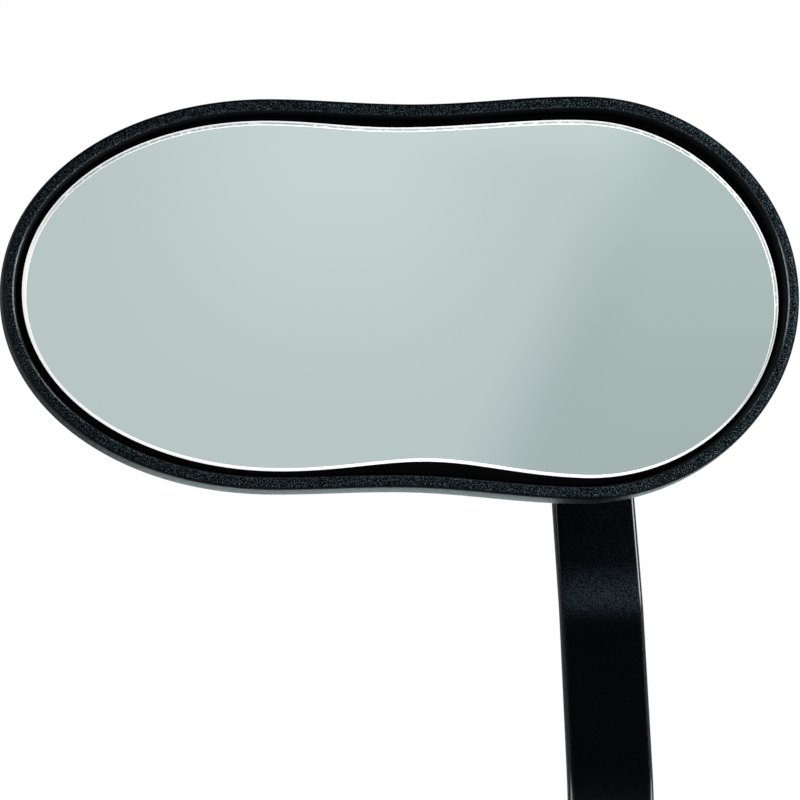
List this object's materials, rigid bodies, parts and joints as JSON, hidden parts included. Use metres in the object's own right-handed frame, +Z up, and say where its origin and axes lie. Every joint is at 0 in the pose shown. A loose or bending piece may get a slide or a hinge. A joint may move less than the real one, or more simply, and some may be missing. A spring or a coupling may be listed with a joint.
{
  "type": "handlebar mirror",
  "caption": "Handlebar mirror: a convex glass in a peanut-shaped moulded shell, carried on a ball joint by a bent flat arm that pivots on a split bar clamp.",
  "frame": {"origin": "centre of the handlebar bore", "axes": "+X along the handlebar to the rider's right, +Y away from the rider, +Z up; the glass faces -Y"},
  "size_m": [0.152, 0.0715, 0.2057],
  "materials": {
    "clamp_black": "black powder coat",
    "shim_rubber": "matte",
    "steel": "bright zinc",
    "nylon": "natural",
    "arm_black": "black powder coat",
    "housing_black": "fine grain",
    "inner_black": "smooth",
    "foam": "foam",
    "glass": "silvered, ground edge"
  },
  "bodies": {
    "clamp": {"bar_clamp": "clamp_black", "bar_shim": "shim_rubber", "pinch_screw": "steel", "pinch_nut": "steel", "pivot_bolt": "steel", "pivot_washer": "steel", "pivot_friction_disc": "nylon", "pivot_spring_washer": "steel", "pivot_nut": "steel"},
    "arm": {"arm": "arm_black"},
    "ball_stud": {"ball_stud": "steel", "stud_friction_disc": "nylon", "stud_spring_washer": "steel", "stud_cap_nut": "steel"},
    "ball_liner": {"ball_liner": "nylon"},
    "head": {"housing": "housing_black", "socket_ring": "inner_black", "pressure_cup": "nylon", "disc_spring": "steel", "spring_cap": "inner_black", "cap_screws": "steel", "backing_plate": "inner_black", "glass_pad": "foam", "mirror_glass": "glass"}
  },
  "joints": [
    {"name": "arm_swing", "type": "hinge", "parent": "clamp", "child": "arm", "pos_m": [0, 0.0065, 0.02993], "axis": [0, 1, 0], "range_deg": [-45, 45]},
    {"name": "head_roll", "type": "hinge", "parent": "arm", "child": "ball_stud", "pos_m": [0, 0.02243, 0.13793], "axis": [0, 1, 0], "range_deg": [-15, 15]},
    {"name": "head_swing", "type": "hinge", "parent": "ball_stud", "child": "ball_liner", "pos_m": [0, 0.02243, 0.13793], "axis": [0, 0, 1], "range_deg": [-12, 12]},
    {"name": "head_tilt", "type": "hinge", "parent": "ball_liner", "child": "head", "pos_m": [0, 0.02243, 0.13793], "axis": [1, 0, 0], "range_deg": [-10, 10]}
  ]
}
